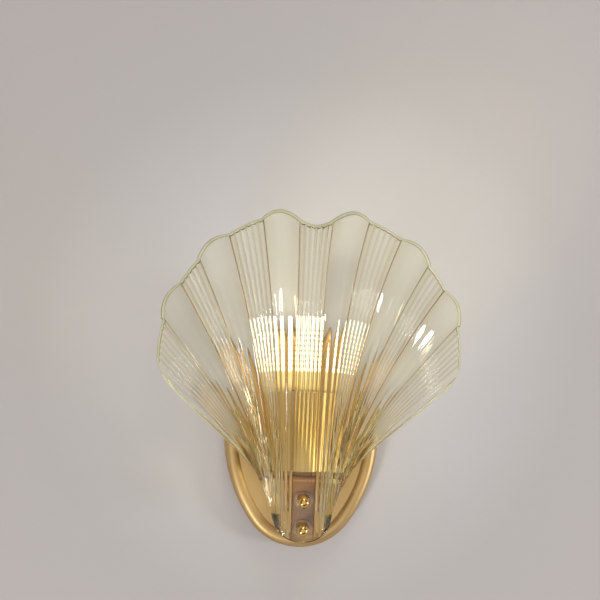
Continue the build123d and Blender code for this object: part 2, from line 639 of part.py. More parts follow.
nipple_foot_z = ARM_TOP_Z - ARM_SHEET - NIPPLE_NUT_HEIGHT
nipple_length = INSULATOR_BASE_Z - nipple_foot_z
save("holder_nipple", rod(level_plane(nipple_foot_z), NIPPLE_RADIUS, nipple_length, NIPPLE_BORE))
nut_bore = NIPPLE_RADIUS + THREAD_GAP
save("nipple_nut", hex_nut(level_plane(nipple_foot_z), NIPPLE_NUT_FLAT, NIPPLE_NUT_HEIGHT, nut_bore))
save("holder_cup", holder_cup())
save("cup_nut", hex_nut(level_plane(CUP_FLOOR_Z), NIPPLE_NUT_FLAT, NIPPLE_NUT_HEIGHT, nut_bore))
save("holder_insulator", holder_insulator())
save("wire_clamps", *wire_clamps())
save("screw_shell", screw_shell())
save("centre_contact", centre_contact())

save("lamp_tip", rod(level_plane(TIP_Z), TIP_RADIUS, TIP_HEIGHT))
save("lamp_tip_collar", rod(level_plane(TIP_Z + TIP_HEIGHT), TIP_COLLAR_RADIUS, TIP_COLLAR_HEIGHT))
save("lamp_cap", rod(level_plane(CAP_BASE_Z), CAP_RADIUS, CAP_HEIGHT))
save("lamp_base", lamp_base())
save("led_column", led_column())
save("led_chips", *led_chips())
save("lamp_top", lamp_top())
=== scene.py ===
import math
from functools import lru_cache

import bmesh
import bpy
from mathutils import Matrix, Vector


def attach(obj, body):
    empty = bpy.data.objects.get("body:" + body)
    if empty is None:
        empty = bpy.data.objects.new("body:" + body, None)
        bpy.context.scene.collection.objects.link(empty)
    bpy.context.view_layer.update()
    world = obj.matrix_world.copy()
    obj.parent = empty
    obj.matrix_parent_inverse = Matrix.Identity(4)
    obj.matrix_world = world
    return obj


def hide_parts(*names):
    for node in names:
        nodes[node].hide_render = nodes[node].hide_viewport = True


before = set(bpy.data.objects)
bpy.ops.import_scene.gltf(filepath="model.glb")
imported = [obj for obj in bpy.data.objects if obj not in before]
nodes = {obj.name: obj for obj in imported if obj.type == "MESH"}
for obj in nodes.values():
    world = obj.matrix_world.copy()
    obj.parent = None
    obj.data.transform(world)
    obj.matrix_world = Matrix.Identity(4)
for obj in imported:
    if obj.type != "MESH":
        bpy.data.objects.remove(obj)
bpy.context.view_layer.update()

# ---- wall --------------------------------------------------------------------------------------
# The painted wall that the light hangs on. It isn't part of the object. It shows only its front
# face and casts no light back, so the light's rear stays lit when it is seen from behind.
# Shades are written as they look on screen, 0 to 255, and lengths in metres.
WALL_HALF = 3.0
WALL_BEHIND = 0.0008
WALL_TONE = (190, 185, 182)
WALL_ROUGHNESS = 0.9
WALL_SPECULAR = 0.2
# Painted light: the wall's colour runs paler towards GLOW_CENTRE, a painted pool of the lamp's light.
WALL_PAINTED_GLOW_SHADES = ((0.0, (185, 180, 178)), (0.45, (185, 181, 180)), (1.0, (210, 209, 212)))
GLOW_CENTRE = (0.0, 0.0, 0.075)
GLOW_RADIUS = 0.42
PAINT_GRAIN = 900
PAINT_BUMP = 0.05
PAINT_RELIEF = 0.0004


def colour(red, green, blue):
    """A colour as it looks on screen, as the linear values that a shader takes."""
    shares = [value / 255 for value in (red, green, blue)]
    linear = [s / 12.92 if s <= 0.04045 else ((s + 0.055) / 1.055) ** 2.4 for s in shares]
    return (*linear, 1.0)


def new_material(name, base, roughness, metallic=0.0):
    material = bpy.data.materials.new(name)
    material.use_nodes = True
    shader = material.node_tree.nodes["Principled BSDF"]
    shader.inputs["Base Color"].default_value = colour(*base)
    shader.inputs["Roughness"].default_value = roughness
    shader.inputs["Metallic"].default_value = metallic
    return material, material.node_tree, shader


def placed(tree, location=(0, 0, 0), scale=(1, 1, 1)):
    """Object coordinates, moved and scaled."""
    source = tree.nodes.new("ShaderNodeTexCoord")
    mapping = tree.nodes.new("ShaderNodeMapping")
    mapping.inputs["Location"].default_value = location
    mapping.inputs["Scale"].default_value = scale
    tree.links.new(source.outputs["Object"], mapping.inputs["Vector"])
    return mapping.outputs["Vector"]


def noise(tree, vector, scale, detail):
    texture = tree.nodes.new("ShaderNodeTexNoise")
    texture.inputs["Scale"].default_value = scale
    texture.inputs["Detail"].default_value = detail
    tree.links.new(vector, texture.inputs["Vector"])
    return texture.outputs["Fac"]


def ramp(tree, factor, stops):
    """Colours along a factor: stops are (place, screen colour)."""
    node = tree.nodes.new("ShaderNodeValToRGB")
    steps = node.color_ramp.elements
    while len(steps) < len(stops):
        steps.new(0.5)
    for step, (place, shade) in zip(steps, stops):
        step.position = place
        step.color = colour(*shade)
    tree.links.new(factor, node.inputs["Fac"])
    return node.outputs["Color"]


def bump(tree, shader, height, strength, distance):
    node = tree.nodes.new("ShaderNodeBump")
    node.inputs["Strength"].default_value = strength
    node.inputs["Distance"].default_value = distance
    tree.links.new(height, node.inputs["Height"])
    tree.links.new(node.outputs["Normal"], shader.inputs["Normal"])


def wall_paint():
    """Matt paint, paler round the light as a painted pool of its light, seen from the front only."""
    material, tree, shader = new_material("wall_paint", WALL_TONE, WALL_ROUGHNESS)
    shader.inputs["Specular IOR Level"].default_value = WALL_SPECULAR
    gradient = tree.nodes.new("ShaderNodeTexGradient")
    gradient.gradient_type = "SPHERICAL"
    shift = tuple(-value / GLOW_RADIUS for value in GLOW_CENTRE)
    glow = placed(tree, shift, (1 / GLOW_RADIUS,) * 3)
    tree.links.new(glow, gradient.inputs["Vector"])
    shade = ramp(tree, gradient.outputs["Fac"], WALL_PAINTED_GLOW_SHADES)
    tree.links.new(shade, shader.inputs["Base Color"])
    grain = noise(tree, placed(tree), PAINT_GRAIN, detail=2)
    bump(tree, shader, grain, PAINT_BUMP, PAINT_RELIEF)
    front = tree.nodes.new("ShaderNodeMixShader")
    clear = tree.nodes.new("ShaderNodeBsdfTransparent")
    side = tree.nodes.new("ShaderNodeNewGeometry")
    tree.links.new(side.outputs["Backfacing"], front.inputs["Fac"])
    tree.links.new(shader.outputs["BSDF"], front.inputs[1])
    tree.links.new(clear.outputs["BSDF"], front.inputs[2])
    tree.links.new(front.outputs["Shader"], tree.nodes["Material Output"].inputs["Surface"])
    return material


def finished(name, mesh_maker, material):
    """A new smooth object from a bmesh, at the origin, with its material."""
    mesh = bpy.data.meshes.new(name)
    shape = bmesh.new()
    mesh_maker(shape)
    for face in shape.faces:
        face.smooth = True
    shape.to_mesh(mesh)
    shape.free()
    piece = bpy.data.objects.new(name, mesh)
    bpy.context.scene.collection.objects.link(piece)
    piece.data.materials.append(material)
    return piece


def wall_mesh(shape):
    upright = Matrix.Translation((0, WALL_BEHIND, 0)) @ Matrix.Rotation(math.radians(90), 4, "X")
    bmesh.ops.create_grid(shape, x_segments=1, y_segments=1, size=WALL_HALF, matrix=upright)


wall = finished("wall", wall_mesh, wall_paint())
wall.visible_diffuse = False
wall.visible_shadow = False

# ---- camera ------------------------------------------------------------------------------------
# The photograph's viewpoint: level with the middle of the shade, a little to its left, with the
# picture turned slightly.
CAMERA_PLACE = Vector((-0.085, -1.5, 0.112))
CAMERA_TARGET = Vector((-0.0034, 0.0, 0.112))
CAMERA_ROLL = 1.55
CAMERA_WIDTH_ANGLE = 19.07

camera_data = bpy.data.cameras.new("camera")
camera_data.sensor_width = 36.0
camera_data.angle = math.radians(CAMERA_WIDTH_ANGLE)
camera = bpy.data.objects.new("camera", camera_data)
aim = (CAMERA_TARGET - CAMERA_PLACE).to_track_quat("-Z", "Y").to_matrix().to_4x4()
turned = aim @ Matrix.Rotation(math.radians(CAMERA_ROLL), 4, "Z")
camera.matrix_world = Matrix.Translation(CAMERA_PLACE) @ turned
bpy.context.scene.collection.objects.link(camera)
bpy.context.scene.camera = camera

# ---- studio light ------------------------------------------------------------------------------
# Soft boxes to the right, low left and above, each with its place, size and watts. They stand in a
# pale room with a dimmer ring round the camera, which the glass and the brass mirror. The room's
# colours run from the camera's side, 0, to the wall's side, 1.
SOFT_BOXES = {
    "box_right": ((1.5, -0.7, -0.25), 0.34, 9.0),
    "box_left": ((-0.8, -1.14, -0.97), 0.26, 9.0),
    "box_above": ((0.2, -1.3, 1.7), 0.7, 8.5),
}
BOX_TARGET = Vector((0, -0.05, 0.05))
ROOM_SHADES = (
    (0.0, (255, 252, 250)),
    (0.09, (236, 232, 228)),
    (0.15, (84, 72, 62)),
    (0.24, (100, 88, 78)),
    (0.36, (212, 210, 208)),
    (0.55, (248, 247, 246)),
)


def soft_box(name, place, size, watts):
    data = bpy.data.lights.new(name, "AREA")
    data.shape = "SQUARE"
    data.size = size
    data.energy = watts
    lamp = bpy.data.objects.new(name, data)
    aimed = (BOX_TARGET - Vector(place)).to_track_quat("-Z", "Y").to_matrix().to_4x4()
    lamp.matrix_world = Matrix.Translation(place) @ aimed
    bpy.context.scene.collection.objects.link(lamp)


def room():
    world = bpy.data.worlds.new("room")
    bpy.context.scene.world = world
    world.use_nodes = True
    tree = world.node_tree
    direction = tree.nodes.new("ShaderNodeTexCoord")
    split = tree.nodes.new("ShaderNodeSeparateXYZ")
    tree.links.new(direction.outputs["Generated"], split.inputs["Vector"])
    from_front = tree.nodes.new("ShaderNodeMapRange")
    from_front.inputs["From Min"].default_value = -1.0
    tree.links.new(split.outputs["Y"], from_front.inputs["Value"])
    shade = ramp(tree, from_front.outputs["Result"], ROOM_SHADES)
    tree.links.new(shade, tree.nodes["Background"].inputs["Color"])


for box_name, settings in SOFT_BOXES.items():
    soft_box(box_name, *settings)
room()
bpy.context.scene.view_settings.view_transform = "Standard"

# ---- back plate --------------------------------------------------------------------------------
# Pressed brass pan with a half-round bead, brushed satin and lacquered. The drawn shape stays;
# its facets are merged and smoothed, and the brushing runs level across it.
MERGE_DISTANCE = 2e-6
SMOOTH_ANGLE = 32
BRASS_PATCHES = 18
BRUSH_LINES = 160
BRUSH_DEPTH = 0.0002
SMOOTHER_BY = 0.08
ROUGHER_BY = 0.1


def smoother():
    """A modifier tree that joins loose triangles and smooths edges under SMOOTH_ANGLE degrees."""
    tree = bpy.data.node_groups.new("smooth_facets", "GeometryNodeTree")
    tree.interface.new_socket("Geometry", in_out="INPUT", socket_type="NodeSocketGeometry")
    tree.interface.new_socket("Geometry", in_out="OUTPUT", socket_type="NodeSocketGeometry")
    start = tree.nodes.new("NodeGroupInput")
    merge = tree.nodes.new("GeometryNodeMergeByDistance")
    merge.inputs["Distance"].default_value = MERGE_DISTANCE
    angle = tree.nodes.new("GeometryNodeInputMeshEdgeAngle")
    flat = tree.nodes.new("FunctionNodeCompare")
    flat.operation = "LESS_THAN"
    flat.inputs["B"].default_value = math.radians(SMOOTH_ANGLE)
    tree.links.new(angle.outputs["Unsigned Angle"], flat.inputs["A"])
    edges = tree.nodes.new("GeometryNodeSetShadeSmooth")
    edges.domain = "EDGE"
    faces = tree.nodes.new("GeometryNodeSetShadeSmooth")
    end = tree.nodes.new("NodeGroupOutput")
    tree.links.new(start.outputs["Geometry"], merge.inputs["Geometry"])
    tree.links.new(merge.outputs["Geometry"], edges.inputs["Geometry"])
    tree.links.new(flat.outputs["Result"], edges.inputs["Shade Smooth"])
    tree.links.new(edges.outputs["Geometry"], faces.inputs["Geometry"])
    tree.links.new(faces.outputs["Geometry"], end.inputs["Geometry"])
    return tree


SMOOTH_FACETS = smoother()


def dress(material, *names):
    """Gives carried-over nodes their material and smooths their curved faces."""
    for name in names:
        node = nodes[name]
        node.data.materials.clear()
        node.data.materials.append(material)
        modifier = node.modifiers.new("smooth_facets", "NODES")
        modifier.node_group = SMOOTH_FACETS


def mottle(tree, shader, stops, scale, detail):
    """Lets the base colour wander between the stops' colours in soft patches."""
    tone = noise(tree, placed(tree), scale, detail)
    tree.links.new(ramp(tree, tone, stops), shader.inputs["Base Color"])


def brass(name, shades, roughness, brushing, grain=(1, 1, 1)):
    """Brass with soft tone changes and fine brushing; grain stretches the brushing."""
    material, tree, shader = new_material(name, shades[0], roughness, metallic=1.0)
    stops = ((0.3, shades[0]), (0.7, shades[1]))
    mottle(tree, shader, stops, BRASS_PATCHES, detail=3)
    lines = noise(tree, placed(tree, scale=grain), BRUSH_LINES, detail=6)
    varied = tree.nodes.new("ShaderNodeMapRange")
    varied.inputs["To Min"].default_value = roughness - SMOOTHER_BY
    varied.inputs["To Max"].default_value = roughness + ROUGHER_BY
    tree.links.new(lines, varied.inputs["Value"])
    tree.links.new(varied.outputs["Result"], shader.inputs["Roughness"])
    bump(tree, shader, lines, brushing, BRUSH_DEPTH)
    return material


SATIN_SHADES = ((202, 172, 122), (186, 155, 104))
satin_brass = brass("satin_brass", SATIN_SHADES, roughness=0.45, brushing=0.35, grain=(0.12, 1, 6))
dress(satin_brass, "back_plate")

# ---- mounting bar and the pieces behind the panel ----------------------------------------------
# Zinc-plated steel bar with slots for the wall screws, and brass screws that hold the pan and the
# earth lead. The terminal block is moulded white plastic, the bush in the panel black rubber.
ZINC_TONE = (186, 186, 182)
ZINC_SHADES = ((0.35, (172, 173, 170)), (0.65, (201, 201, 196)))
TURNED_SHADES = ((214, 180, 120), (190, 152, 92))
MOULDED_PATCHES = 45
MOULDED_GRAIN = 1400
FINE_RELIEF = 0.0001

zinc, zinc_tree, zinc_shader = new_material("zinc_steel", ZINC_TONE, roughness=0.38, metallic=1.0)
mottle(zinc_tree, zinc_shader, ZINC_SHADES, scale=60, detail=5)
zinc_grain = noise(zinc_tree, placed(zinc_tree), scale=700, detail=3)
bump(zinc_tree, zinc_shader, zinc_grain, strength=0.15, distance=FINE_RELIEF)
dress(zinc, "mounting_bar", "terminal_screws", "terminal_block_nut", "arm_nuts")

turned_brass = brass("turned_brass", TURNED_SHADES, roughness=0.28, brushing=0.2, grain=(1, 1, 4))
dress(turned_brass, "side_screws", "earth_screw")


def moulded(name, shade, shade_low, roughness, grain=0.12):
    """Moulded plastic or rubber: a faint tone change and a fine moulded grain."""
    material, tree, shader = new_material(name, shade, roughness)
    stops = ((0.3, shade_low), (0.7, shade))
    mottle(tree, shader, stops, MOULDED_PATCHES, detail=4)
    bump(tree, shader, noise(tree, placed(tree), MOULDED_GRAIN, detail=2), grain, FINE_RELIEF)
    return material


white_plastic = moulded("white_plastic", (238, 234, 222), (226, 221, 206), roughness=0.42)
dress(white_plastic, "terminal_block")
black_rubber = moulded("black_rubber", (46, 45, 44), (34, 33, 32), roughness=0.75, grain=0.3)
dress(black_rubber, "cable_grommet")

# ---- arm ---------------------------------------------------------------------------------------
# Bent brass strip, painted darker than the plate as painted shade for the lamp's shadow behind the
# glass.
# Two pan-head screws fix its flange to the panel, and two riveted studs carry the glass.
ARM_SHADOWED_SHADES = ((158, 116, 78), (134, 94, 62))
shadowed_arm_brass = brass("shadowed_arm_brass", ARM_SHADOWED_SHADES, roughness=0.42, brushing=0.3, grain=(8, 1, 0.15))
dress(shadowed_arm_brass, "arm")
dress(turned_brass, "arm_screws", "shade_studs")

# ---- rear pad ----------------------------------------------------------------------------------
# Brown rubber strip between the arm's front leg and the glass, so that brass never touches glass.
# The two studs pass through it and keep it in place.
brown_rubber = moulded("brown_rubber", (120, 84, 62), (98, 66, 48), roughness=0.7, grain=0.3)
dress(brown_rubber, "rear_pad")

# ---- lampholder --------------------------------------------------------------------------------
# Drawn brass sleeve round a glazed porcelain body with a thin brass screw shell. A threaded nipple
# and its nut hold it on the arm.
HOLDER_SHADES = ((212, 192, 150), (192, 170, 124))
PORCELAIN_TONE = (240, 237, 228)
PORCELAIN_SHADES = ((0.3, (231, 226, 214)), (0.7, (243, 240, 233)))

holder_brass = brass("holder_brass", HOLDER_SHADES, roughness=0.3, brushing=0.15, grain=(1, 1, 0.2))
dress(holder_brass, "holder_cup")
dress(turned_brass, "holder_nipple", "nipple_nut", "cup_nut")
dress(turned_brass, "wire_clamps", "screw_shell", "centre_contact")

porcelain, porcelain_tree, porcelain_shader = new_material("porcelain", PORCELAIN_TONE, roughness=0.18)
mottle(porcelain_tree, porcelain_shader, PORCELAIN_SHADES, scale=30, detail=4)
dress(porcelain, "holder_insulator")

# ---- lamp --------------------------------------------------------------------------------------
# A lit column of small LEDs between a white base and top, on a nickel-plated screw cap. Its thread
# is drawn by bands of bump round the cap.
CHIP_GLOW = 6.0
COLUMN_PAINTED_GLOW = 0.2
TOP_GLOW = 2.6
BASE_PAINTED_GLOW = 0.25
SPECKLES = 500
NICKEL_TONE = (198, 194, 186)
NICKEL_SHADES = ((0.3, (184, 180, 170)), (0.7, (206, 203, 196)))
THREAD_SCALE = 70.0
THREAD_BUMP = 0.8
THREAD_DEPTH = 0.001


def glowing(name, shade, shade_low, roughness, light, strength):
    """Plastic that gives off light of one plain colour, faintly speckled; on the board and base it is
    painted light.
    """
    material, tree, shader = new_material(name, shade, roughness)
    mottle(tree, shader, ((0.35, shade_low), (0.65, shade)), SPECKLES, detail=3)
    shader.inputs["Emission Color"].default_value = colour(*light)
    shader.inputs["Emission Strength"].default_value = strength
    return material


# Painted light: the board and base are no lamps; their faint glow stands for the chips' light falling
# on them.
# Each lit piece: its material, tone, speckle tone, roughness, and the light's colour and strength.
LIT_PIECES = {
    "led_chips": ("chip_phosphor", (250, 226, 150), (240, 205, 110), 0.3, (255, 251, 238), CHIP_GLOW),
    "led_column": ("board_white", (244, 242, 234), (232, 228, 214), 0.5, (255, 248, 228), COLUMN_PAINTED_GLOW),
    "lamp_top": ("top_white", (244, 240, 228), (234, 228, 208), 0.45, (255, 250, 236), TOP_GLOW),
    "lamp_base": ("base_white", (240, 228, 190), (226, 208, 158), 0.45, (255, 232, 160), BASE_PAINTED_GLOW),
}
for piece_name, looks in LIT_PIECES.items():
    dress(glowing(*looks), piece_name)

nickel, nickel_tree, nickel_shader = new_material("nickel", NICKEL_TONE, roughness=0.22, metallic=1.0)
mottle(nickel_tree, nickel_shader, NICKEL_SHADES, scale=90, detail=3)
thread = nickel_tree.nodes.new("ShaderNodeTexWave")
thread.bands_direction = "Z"
thread.inputs["Scale"].default_value = THREAD_SCALE
nickel_tree.links.new(placed(nickel_tree), thread.inputs["Vector"])
bump(nickel_tree, nickel_shader, thread.outputs["Fac"], THREAD_BUMP, THREAD_DEPTH)
dress(nickel, "lamp_cap")
dress(zinc, "lamp_tip")
black_plastic = moulded("black_plastic", (44, 42, 40), (32, 31, 30), roughness=0.4)
dress(black_plastic, "lamp_tip_collar")

# ---- glass shell -------------------------------------------------------------------------------
# Pressed champagne glass: a fan of six smooth lobes with bands of fine flutes between them and
# broad folds in the stem. The outer face carries flutes and folds, and the inner face follows the
# lobes. The washers and ball nuts clamp the foot against the rear pad.

# The fan: angles are in degrees from its middle line, and t runs from 0 at the foot to 1 at the
# rim.
GLASS_WALL = 0.0045
FOOT_Z = -0.084
FOOT_HALF_WIDTH = 0.0245
FOOT_ROUNDING = 0.022
FOOT_FRONT = 0.062
FOOT_EDGE = 0.036
SHELL_LEAN = 0.16
SHELL_FLARE = 0.042
RIM_CENTRE_Z = 0.051
RIM_RADIUS = 0.117
RIM_CROWN = 0.0105
RIM_EDGE = 0.086
RIM_DIP = 0.012
DIP_ANGLE = 9.0
LOBE_RISE = 0.006
FAN_ANGLE = 98.0
CORNER_TRIM = 0.009
EDGE_CURL = 0.012
FAN_CROWDING = 3.43
LEAVE_ANGLE = 12.0
LEAVE_REACH = 0.30
ARRIVE_SHARE = 0.56
ARRIVE_EASE = 0.22
ARRIVE_REACH = 0.33
FLARE_POWER = 5.3
EDGE_POWER = 1.5
FOOT_FALL_POWER = 2.5
CROWN_POWER = 1.8

# Zones of half the fan: start, end and number of flutes. A lobe has no flutes, and the first zone
# is the band that lies across the middle.
FAN_ZONES = (
    (-6.4, 6.4, 6),
    (6.4, 18.4, 0),
    (18.4, 31.4, 6),
    (31.4, 44.4, 0),
    (44.4, 55.3, 5),
    (55.3, 69.3, 0),
    (69.3, 86.0, 7),
)
MIDDLE_BAND = FAN_ZONES[0][1]
CORNER_ANGLE = FAN_ZONES[-1][1]
LOBE_BORDERS = [start for start, _, _ in FAN_ZONES[1:]]

# Relief: lobes and flutes grow from the foot, while the folds fade towards the rim. The inner face
# follows the lobes by its share. Below WASHER_SEAT the middle stays plain, for the washers.
LOBE_RELIEF = 0.0035
LOBE_GROWTH = 3
INNER_SHARE = 0.6
FLUTE_RELIEF = 0.0018
FLUTE_RUN_IN = 0.25
WASHER_SEAT = 0.17
FOLD_RELIEF = 0.0028
FOLD_END = 0.95
FOLDS_PER_LOBE = 3

# Tones that the glass shader reads: painted shade as a narrow dark line with a soft one round it
# where a lobe meets a band and thin ones in the grooves of flutes and folds, and a golden tone
# that ends at GOLDEN_END.
# Widths are in degrees, but a groove's is a share of its ridge's height.
CREASE_WIDTH = 1.1
SOFT_TONE = 0.62
SOFT_WIDTH = 4.5
GROOVE_WIDTH = 0.35
FLUTE_TONE = 0.86
FOLD_TONE = 3.0
FOLD_TONE_END = 0.68
GOLDEN_END = 0.62

# The mesh: steps of the grid, and the rounding of its edges. Above PALE_EDGE_START the flat faces
# of the edges have a pale material of their own, because clear ones show as a black line.
FLUTE_STEPS = 8
LOBE_STEPS = 20
CORNER_STEPS = 12
ROWS = 56
EDGE_RADIUS = 0.0007
EDGE_STEPS = 4
PALE_EDGE_START = 0.4
SLOPE_STEP = 0.002
WELD_DISTANCE = 1e-6


def zone(angle):
    """How far across its zone a fan line lies, 0 to 1, and that zone's number of flutes.

    On a border between zones and past the last one, the number is None.
    """
    for start, end, flutes in FAN_ZONES:
        place = angle if start < 0 else abs(angle)
        if start < place < end:
            return (place - start) / (end - start), flutes
    return 0.0, None


def lobe(angle):
    """How far up a lobe's hump a fan line lies: 0 in the fluted bands, 1 on a lobe's crest."""
    share, flutes = zone(angle)
    return math.sin(math.pi * share) if flutes == 0 else 0.0


def flute(angle):
    """Height of the fine flutes across a band: round ridges with a sharp groove between them."""
    share, flutes = zone(angle)
    return abs(math.sin(math.pi * flutes * share)) if flutes else 0.0


def run_in(angle, t):
    """How far flutes and folds have grown, 0 to 1. In the middle they start above the washers."""
    begin = WASHER_SEAT if abs(angle) < MIDDLE_BAND else 0
    return min(max((t - begin) / FLUTE_RUN_IN, 0), 1)


def lobe_folds(share):
    return abs(math.sin(math.pi * FOLDS_PER_LOBE * share))


def fold(angle, t):
    """Height of the broad folds of the stem, three on each lobe and one on each band."""
    share, flutes = zone(angle)
    if flutes is None:
        return 0.0
    height = math.sin(math.pi * share) ** 2 if flutes else lobe_folds(share)
    return FOLD_RELIEF * max(1 - t / FOLD_END, 0) * run_in(angle, t) * height


def painted_shade(angle, t):
    """Depth of the brown painted shade, 0 to 1: round a lobe's borders and in flutes' and folds'
    grooves.
    """
    away = min(abs(abs(angle) - border) for border in LOBE_BORDERS)
    tone = max(1 - away / CREASE_WIDTH, SOFT_TONE * (1 - away / SOFT_WIDTH), 0)
    share, flutes = zone(angle)
    groove = 0.0
    if flutes:
        groove = FLUTE_TONE * run_in(angle, t) * max(1 - flute(angle) / GROOVE_WIDTH, 0)
    elif flutes == 0:
        in_stem = min(FOLD_TONE * max(1 - t / FOLD_TONE_END, 0), 1)
        groove = in_stem * max(1 - lobe_folds(share) / GROOVE_WIDTH, 0)
    return max(tone, groove)


def corner_share(angle):
    return max(abs(angle) - CORNER_ANGLE, 0) / (FAN_ANGLE - CORNER_ANGLE)


def rim_radius(angle):
    """Where the fan line at this angle meets the rim, measured from the rim's centre."""
    share = min(abs(angle) / 90, 1)
    radius = RIM_RADIUS + RIM_CROWN * (1 - share**CROWN_POWER)
    radius -= RIM_DIP * math.exp(-((angle / DIP_ANGLE) ** 2))
    radius += LOBE_RISE * lobe(angle)
    return radius - CORNER_TRIM * corner_share(angle) ** 2


def bezier(ends, t):
    a, b, c, d = ends
    return a * (1 - t) ** 3 + 3 * b * t * (1 - t) ** 2 + 3 * c * t**2 * (1 - t) + d * t**3


def heading(tilt):
    """A direction in the plane of the wall, tilted from upright."""
    return Vector((math.sin(tilt), 0, math.cos(tilt)))


@lru_cache(maxsize=None)
def fan_line(angle):
    """What a fan line needs at every t: its control points, and its fall back from the middle."""
    share = angle / FAN_ANGLE
    turn = math.radians(90) * (1 + FAN_CROWDING) * share / (1 + FAN_CROWDING * abs(share))
    lift = FOOT_ROUNDING * (1 - math.cos(turn))
    foot = Vector((FOOT_HALF_WIDTH * math.sin(turn), 0, FOOT_Z + lift))
    rim = heading(math.radians(angle)) * rim_radius(angle) + Vector((0, 0, RIM_CENTRE_Z))
    length = (rim - foot).length
    leave = math.radians(LEAVE_ANGLE * share)
    arrive = math.radians(ARRIVE_SHARE * angle * (1 - ARRIVE_EASE * share**4))
    near_foot = foot + heading(leave) * (LEAVE_REACH * length)
    near_rim = rim - heading(arrive) * (ARRIVE_REACH * length)
    foot_fall = (1 - math.cos(turn)) ** FOOT_FALL_POWER
    rim_fall = 1 - math.cos(math.radians(90) * share)
    return (foot, near_foot, near_rim, rim), lift, foot_fall, rim_fall


def fan_point(angle, t):
    """A place on the shell without its relief."""
    ends, lift, foot_fall, rim_fall = fan_line(angle)
    place = bezier(ends, t)
    rise = RIM_CENTRE_Z + rim_radius(0) - FOOT_Z
    height = bezier((lift, lift + LEAVE_REACH * rise, (1 - ARRIVE_REACH) * rise, rise), t)
    middle = FOOT_FRONT + SHELL_LEAN * height + SHELL_FLARE * t**FLARE_POWER
    edge = FOOT_EDGE + (RIM_EDGE - FOOT_EDGE) * t**EDGE_POWER
    fall = (1 - t) * foot_fall + t * rim_fall
    depth = middle - (middle - edge) * fall - EDGE_CURL * t * corner_share(angle) ** 2
    return Vector((place.x, -depth, place.z))


def even_steps(start, end, steps):
    return [start + (end - start) * step / steps for step in range(steps)]


def fan_angles():
    """Angles of the fan lines: each flute and each lobe gets its own even steps."""
    middle, *others = FAN_ZONES
    angles = even_steps(0, MIDDLE_BAND, FLUTE_STEPS * middle[2] // 2)
    for start, end, flutes in others:
        angles += even_steps(start, end, FLUTE_STEPS * flutes or LOBE_STEPS)
    angles += even_steps(CORNER_ANGLE, FAN_ANGLE, CORNER_STEPS)
    return [-angle for angle in reversed(angles[1:])] + angles


def edge_profile():
    """The rounded edge, from its middle: distance in from the edge, and half the wall there."""
    flat = GLASS_WALL / 2 - EDGE_RADIUS
    turns = [math.pi / 2 * step / EDGE_STEPS for step in range(EDGE_STEPS + 1)]
    arc = [(1 - math.cos(turn), math.sin(turn)) for turn in turns]
    return [(0.0, 0.0)] + [(EDGE_RADIUS * inset, flat + EDGE_RADIUS * half) for inset, half in arc]


# Columns and rows of the grid: where each lies, and half the wall there.
HALF_WALL = GLASS_WALL / 2
SIDE_LENGTH = RIM_CENTRE_Z + RIM_RADIUS - FOOT_Z
DEGREES_PER_METRE = math.degrees(1 / RIM_RADIUS)
EDGE_PROFILE = edge_profile()
LEFT_EDGE = [(-FAN_ANGLE + inset * DEGREES_PER_METRE, half) for inset, half in EDGE_PROFILE]
FOOT_END = [(inset / SIDE_LENGTH, half) for inset, half in EDGE_PROFILE]
ROUNDED = FOOT_END[-1][0]
COLUMN_PLACES = LEFT_EDGE + [(angle, HALF_WALL) for angle in fan_angles()]
COLUMN_PLACES += [(-angle, half) for angle, half in reversed(LEFT_EDGE)]
ROW_PLACES = FOOT_END + [(t, HALF_WALL) for t in even_steps(ROUNDED, 1 - ROUNDED, ROWS)[1:]]
ROW_PLACES += [(1 - t, half) for t, half in reversed(FOOT_END)]


@lru_cache(maxsize=None)
def wall_frame(angle, t):
    """A place on the shell without relief, its outward direction, its lobe and its outer relief."""
    turn = FAN_ANGLE * SLOPE_STEP
    sideways = fan_point(angle + turn, t) - fan_point(angle - turn, t)
    along = fan_point(angle, t + SLOPE_STEP) - fan_point(angle, max(t - SLOPE_STEP, 0))
    raised = LOBE_RELIEF * lobe(angle) * min(LOBE_GROWTH * t, 1)
    relief = FLUTE_RELIEF * run_in(angle, t) * (flute(angle) - 1) + fold(angle, t)
    return fan_point(angle, t), sideways.cross(along).normalized(), raised, relief


def shell_skin(shape, side):
    """One skin of the wall: a grid whose corners are carried to their places on the shell."""
    columns, rows = len(COLUMN_PLACES) - 1, len(ROW_PLACES) - 1
    made = bmesh.ops.create_grid(shape, x_segments=columns, y_segments=rows, size=1.0)
    tone = shape.verts.layers.float["painted_shade"]
    stem = shape.verts.layers.float["stem"]
    rim = shape.faces.layers.int["rim"]
    for vertex in made["verts"]:
        angle, side_half = COLUMN_PLACES[round((vertex.co.x + 1) / 2 * columns)]
        t, end_half = ROW_PLACES[round((vertex.co.y + 1) / 2 * rows)]
        half = min(side_half, end_half)
        inside = half / HALF_WALL
        place, out, raised, relief = wall_frame(angle, t)
        middle = raised * (1 + INNER_SHARE) / 2 - HALF_WALL
        thicker = raised * (1 - INNER_SHARE) / 2 * inside
        proud = relief * inside if side > 0 else 0
        vertex.co = place + out * (middle + side * (half + thicker) + proud)
        vertex[tone] = painted_shade(angle, t) if side > 0 else 0
        vertex[stem] = max(1 - t / GOLDEN_END, 0)
        if half == 0 and t > PALE_EDGE_START:
            for face in vertex.link_faces:
                face[rim] = 1


def shell_mesh(shape):
    """Two skins welded at their edges, with the pale material on the upper edges' flat faces."""
    shape.verts.layers.float.new("painted_shade")
    shape.verts.layers.float.new("stem")
    shape.faces.layers.int.new("rim")
    for side in (1, -1):
        shell_skin(shape, side)
    bmesh.ops.remove_doubles(shape, verts=shape.verts, dist=WELD_DISTANCE)
    bmesh.ops.recalc_face_normals(shape, faces=shape.faces)
    rim = shape.faces.layers.int["rim"]
    for face in shape.faces:
        face.material_index = face[rim]


